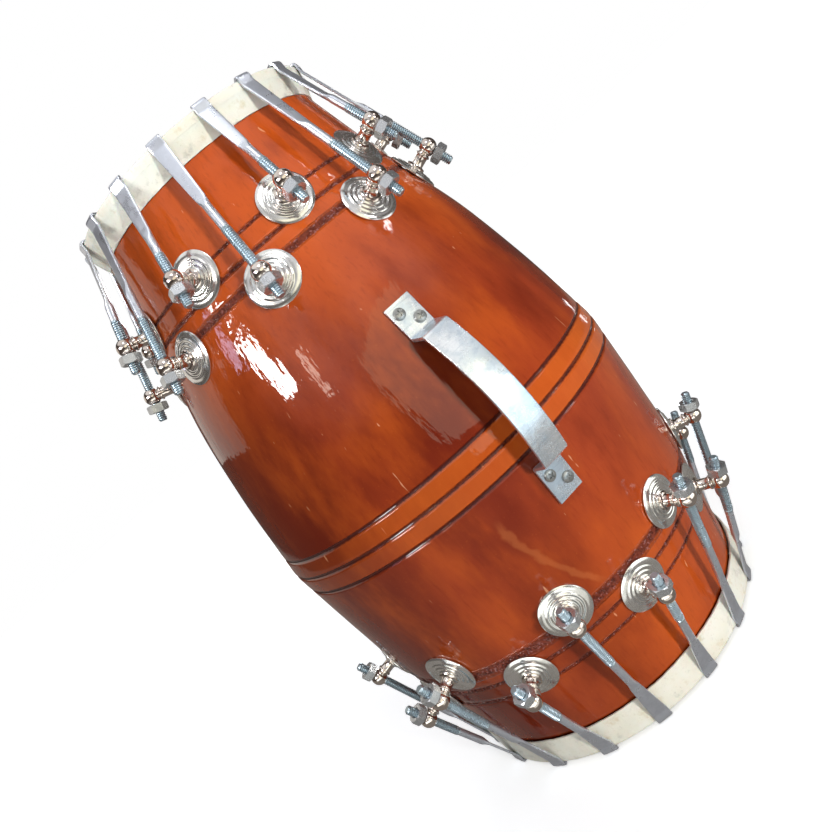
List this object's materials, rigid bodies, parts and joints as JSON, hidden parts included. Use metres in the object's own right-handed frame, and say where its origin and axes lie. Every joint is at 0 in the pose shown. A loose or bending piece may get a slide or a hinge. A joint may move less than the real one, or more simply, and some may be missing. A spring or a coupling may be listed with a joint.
{
  "type": "dholak drum",
  "caption": "Barrel-shaped two-headed wooden hand drum: rawhide heads on steel hoops, drawn tight by hook rods and tuning nuts on ball posts, with a strap handle at the belly.",
  "frame": {"origin": "middle of the bass head's playing face, on the drum's long axis", "axes": "+Z along the drum from the bass (larger) head to the treble head; -Y towards the handle; +X to the right seen from the handle side"},
  "size_m": [0.3264, 0.3358, 0.476],
  "materials": {
    "lacquered_wood": "clear glossy lacquer over reddish-brown stained wood",
    "rawhide": "dry cream rawhide, slightly wrinkled",
    "tuning_paste": "dull black, soft",
    "plated_steel": "nickel plate, bright on the balls and satin on washers and blades",
    "zinc_plated_nut": "zinc plate, cool grey",
    "satin_aluminium": "satin, lightly scratched",
    "screw_steel": "plain pan-head screw"
  },
  "bodies": {
    "drum": {"shell": "lacquered_wood", "bass_skin": "rawhide", "treble_skin": "rawhide", "bass_tension_frame": "plated_steel", "treble_tension_frame": "plated_steel", "bass_tuning_paste": "tuning_paste", "handle": "satin_aluminium", "handle_screw_1": "screw_steel", "handle_screw_2": "screw_steel", "handle_screw_3": "screw_steel", "handle_screw_4": "screw_steel"},
    "bass_nut_01": {"bass_nut_01": "zinc_plated_nut"},
    "bass_nut_02": {"bass_nut_02": "zinc_plated_nut"},
    "bass_nut_03": {"bass_nut_03": "zinc_plated_nut"},
    "bass_nut_04": {"bass_nut_04": "zinc_plated_nut"},
    "bass_nut_05": {"bass_nut_05": "zinc_plated_nut"},
    "bass_nut_06": {"bass_nut_06": "zinc_plated_nut"},
    "bass_nut_07": {"bass_nut_07": "zinc_plated_nut"},
    "bass_nut_08": {"bass_nut_08": "zinc_plated_nut"},
    "bass_nut_09": {"bass_nut_09": "zinc_plated_nut"},
    "bass_nut_10": {"bass_nut_10": "zinc_plated_nut"},
    "bass_nut_11": {"bass_nut_11": "zinc_plated_nut"},
    "bass_nut_12": {"bass_nut_12": "zinc_plated_nut"},
    "bass_nut_13": {"bass_nut_13": "zinc_plated_nut"},
    "bass_nut_14": {"bass_nut_14": "zinc_plated_nut"},
    "bass_nut_15": {"bass_nut_15": "zinc_plated_nut"},
    "bass_nut_16": {"bass_nut_16": "zinc_plated_nut"},
    "bass_nut_17": {"bass_nut_17": "zinc_plated_nut"},
    "bass_nut_18": {"bass_nut_18": "zinc_plated_nut"},
    "treble_nut_01": {"treble_nut_01": "zinc_plated_nut"},
    "treble_nut_02": {"treble_nut_02": "zinc_plated_nut"},
    "treble_nut_03": {"treble_nut_03": "zinc_plated_nut"},
    "treble_nut_04": {"treble_nut_04": "zinc_plated_nut"},
    "treble_nut_05": {"treble_nut_05": "zinc_plated_nut"},
    "treble_nut_06": {"treble_nut_06": "zinc_plated_nut"},
    "treble_nut_07": {"treble_nut_07": "zinc_plated_nut"},
    "treble_nut_08": {"treble_nut_08": "zinc_plated_nut"},
    "treble_nut_09": {"treble_nut_09": "zinc_plated_nut"},
    "treble_nut_10": {"treble_nut_10": "zinc_plated_nut"},
    "treble_nut_11": {"treble_nut_11": "zinc_plated_nut"},
    "treble_nut_12": {"treble_nut_12": "zinc_plated_nut"},
    "treble_nut_13": {"treble_nut_13": "zinc_plated_nut"},
    "treble_nut_14": {"treble_nut_14": "zinc_plated_nut"},
    "treble_nut_15": {"treble_nut_15": "zinc_plated_nut"},
    "treble_nut_16": {"treble_nut_16": "zinc_plated_nut"},
    "treble_nut_17": {"treble_nut_17": "zinc_plated_nut"},
    "treble_nut_18": {"treble_nut_18": "zinc_plated_nut"}
  },
  "joints": [
    {"name": "bass_nut_01_turn", "type": "hinge", "parent": "drum", "child": "bass_nut_01", "pos_m": [0, -0.15357, 0.0849], "axis": [0, -0.3434, 0.9392], "range_deg": [-1080, 1080]},
    {"name": "bass_nut_02_turn", "type": "hinge", "parent": "drum", "child": "bass_nut_02", "pos_m": [0.05412, -0.14869, 0.11233], "axis": [0.103, -0.2829, 0.9536], "range_deg": [-1080, 1080]},
    {"name": "bass_nut_03_turn", "type": "hinge", "parent": "drum", "child": "bass_nut_03", "pos_m": [0.09871, -0.11764, 0.0849], "axis": [0.2207, -0.2631, 0.9392], "range_deg": [-1080, 1080]},
    {"name": "bass_nut_04_turn", "type": "hinge", "parent": "drum", "child": "bass_nut_04", "pos_m": [0.13703, -0.07912, 0.11233], "axis": [0.2607, -0.1505, 0.9536], "range_deg": [-1080, 1080]},
    {"name": "bass_nut_05_turn", "type": "hinge", "parent": "drum", "child": "bass_nut_05", "pos_m": [0.15123, -0.02667, 0.0849], "axis": [0.3382, -0.0596, 0.9392], "range_deg": [-1080, 1080]},
    {"name": "bass_nut_06_turn", "type": "hinge", "parent": "drum", "child": "bass_nut_06", "pos_m": [0.15582, 0.02748, 0.11233], "axis": [0.2964, 0.0523, 0.9536], "range_deg": [-1080, 1080]},
    {"name": "bass_nut_07_turn", "type": "hinge", "parent": "drum", "child": "bass_nut_07", "pos_m": [0.13299, 0.07678, 0.0849], "axis": [0.2974, 0.1717, 0.9392], "range_deg": [-1080, 1080]},
    {"name": "bass_nut_08_turn", "type": "hinge", "parent": "drum", "child": "bass_nut_08", "pos_m": [0.10171, 0.12121, 0.11233], "axis": [0.1935, 0.2306, 0.9536], "range_deg": [-1080, 1080]},
    {"name": "bass_nut_09_turn", "type": "hinge", "parent": "drum", "child": "bass_nut_09", "pos_m": [0.05252, 0.1443, 0.0849], "axis": [0.1174, 0.3227, 0.9392], "range_deg": [-1080, 1080]},
    {"name": "bass_nut_10_turn", "type": "hinge", "parent": "drum", "child": "bass_nut_10", "pos_m": [0, 0.15823, 0.11233], "axis": [0, 0.301, 0.9536], "range_deg": [-1080, 1080]},
    {"name": "bass_nut_11_turn", "type": "hinge", "parent": "drum", "child": "bass_nut_11", "pos_m": [-0.05252, 0.1443, 0.0849], "axis": [-0.1174, 0.3227, 0.9392], "range_deg": [-1080, 1080]},
    {"name": "bass_nut_12_turn", "type": "hinge", "parent": "drum", "child": "bass_nut_12", "pos_m": [-0.10171, 0.12121, 0.11233], "axis": [-0.1935, 0.2306, 0.9536], "range_deg": [-1080, 1080]},
    {"name": "bass_nut_13_turn", "type": "hinge", "parent": "drum", "child": "bass_nut_13", "pos_m": [-0.13299, 0.07678, 0.0849], "axis": [-0.2974, 0.1717, 0.9392], "range_deg": [-1080, 1080]},
    {"name": "bass_nut_14_turn", "type": "hinge", "parent": "drum", "child": "bass_nut_14", "pos_m": [-0.15582, 0.02748, 0.11233], "axis": [-0.2964, 0.0523, 0.9536], "range_deg": [-1080, 1080]},
    {"name": "bass_nut_15_turn", "type": "hinge", "parent": "drum", "child": "bass_nut_15", "pos_m": [-0.15123, -0.02667, 0.0849], "axis": [-0.3382, -0.0596, 0.9392], "range_deg": [-1080, 1080]},
    {"name": "bass_nut_16_turn", "type": "hinge", "parent": "drum", "child": "bass_nut_16", "pos_m": [-0.13703, -0.07912, 0.11233], "axis": [-0.2607, -0.1505, 0.9536], "range_deg": [-1080, 1080]},
    {"name": "bass_nut_17_turn", "type": "hinge", "parent": "drum", "child": "bass_nut_17", "pos_m": [-0.09871, -0.11764, 0.0849], "axis": [-0.2207, -0.2631, 0.9392], "range_deg": [-1080, 1080]},
    {"name": "bass_nut_18_turn", "type": "hinge", "parent": "drum", "child": "bass_nut_18", "pos_m": [-0.05412, -0.14869, 0.11233], "axis": [-0.103, -0.2829, 0.9536], "range_deg": [-1080, 1080]},
    {"name": "treble_nut_01_turn", "type": "hinge", "parent": "drum", "child": "treble_nut_01", "pos_m": [0, -0.12664, 0.39528], "axis": [0, -0.3575, -0.9339], "range_deg": [-1080, 1080]},
    {"name": "treble_nut_02_turn", "type": "hinge", "parent": "drum", "child": "treble_nut_02", "pos_m": [0.04609, -0.12662, 0.36446], "axis": [0.1119, -0.3073, -0.945], "range_deg": [-1080, 1080]},
    {"name": "treble_nut_03_turn", "type": "hinge", "parent": "drum", "child": "treble_nut_03", "pos_m": [0.0814, -0.09701, 0.39528], "axis": [0.2298, -0.2739, -0.9339], "range_deg": [-1080, 1080]},
    {"name": "treble_nut_04_turn", "type": "hinge", "parent": "drum", "child": "treble_nut_04", "pos_m": [0.11669, -0.06737, 0.36446], "axis": [0.2832, -0.1635, -0.945], "range_deg": [-1080, 1080]},
    {"name": "treble_nut_05_turn", "type": "hinge", "parent": "drum", "child": "treble_nut_05", "pos_m": [0.12472, -0.02199, 0.39528], "axis": [0.3521, -0.0621, -0.9339], "range_deg": [-1080, 1080]},
    {"name": "treble_nut_06_turn", "type": "hinge", "parent": "drum", "child": "treble_nut_06", "pos_m": [0.1327, 0.0234, 0.36446], "axis": [0.3221, 0.0568, -0.945], "range_deg": [-1080, 1080]},
    {"name": "treble_nut_07_turn", "type": "hinge", "parent": "drum", "child": "treble_nut_07", "pos_m": [0.10967, 0.06332, 0.39528], "axis": [0.3096, 0.1788, -0.9339], "range_deg": [-1080, 1080]},
    {"name": "treble_nut_08_turn", "type": "hinge", "parent": "drum", "child": "treble_nut_08", "pos_m": [0.08661, 0.10322, 0.36446], "axis": [0.2102, 0.2505, -0.945], "range_deg": [-1080, 1080]},
    {"name": "treble_nut_09_turn", "type": "hinge", "parent": "drum", "child": "treble_nut_09", "pos_m": [0.04331, 0.119, 0.39528], "axis": [0.1223, 0.3359, -0.9339], "range_deg": [-1080, 1080]},
    {"name": "treble_nut_10_turn", "type": "hinge", "parent": "drum", "child": "treble_nut_10", "pos_m": [0, 0.13474, 0.36446], "axis": [0, 0.327, -0.945], "range_deg": [-1080, 1080]},
    {"name": "treble_nut_11_turn", "type": "hinge", "parent": "drum", "child": "treble_nut_11", "pos_m": [-0.04331, 0.119, 0.39528], "axis": [-0.1223, 0.3359, -0.9339], "range_deg": [-1080, 1080]},
    {"name": "treble_nut_12_turn", "type": "hinge", "parent": "drum", "child": "treble_nut_12", "pos_m": [-0.08661, 0.10322, 0.36446], "axis": [-0.2102, 0.2505, -0.945], "range_deg": [-1080, 1080]},
    {"name": "treble_nut_13_turn", "type": "hinge", "parent": "drum", "child": "treble_nut_13", "pos_m": [-0.10967, 0.06332, 0.39528], "axis": [-0.3096, 0.1788, -0.9339], "range_deg": [-1080, 1080]},
    {"name": "treble_nut_14_turn", "type": "hinge", "parent": "drum", "child": "treble_nut_14", "pos_m": [-0.1327, 0.0234, 0.36446], "axis": [-0.3221, 0.0568, -0.945], "range_deg": [-1080, 1080]},
    {"name": "treble_nut_15_turn", "type": "hinge", "parent": "drum", "child": "treble_nut_15", "pos_m": [-0.12472, -0.02199, 0.39528], "axis": [-0.3521, -0.0621, -0.9339], "range_deg": [-1080, 1080]},
    {"name": "treble_nut_16_turn", "type": "hinge", "parent": "drum", "child": "treble_nut_16", "pos_m": [-0.11669, -0.06737, 0.36446], "axis": [-0.2832, -0.1635, -0.945], "range_deg": [-1080, 1080]},
    {"name": "treble_nut_17_turn", "type": "hinge", "parent": "drum", "child": "treble_nut_17", "pos_m": [-0.0814, -0.09701, 0.39528], "axis": [-0.2298, -0.2739, -0.9339], "range_deg": [-1080, 1080]},
    {"name": "treble_nut_18_turn", "type": "hinge", "parent": "drum", "child": "treble_nut_18", "pos_m": [-0.04609, -0.12662, 0.36446], "axis": [-0.1119, -0.3073, -0.945], "range_deg": [-1080, 1080]}
  ]
}
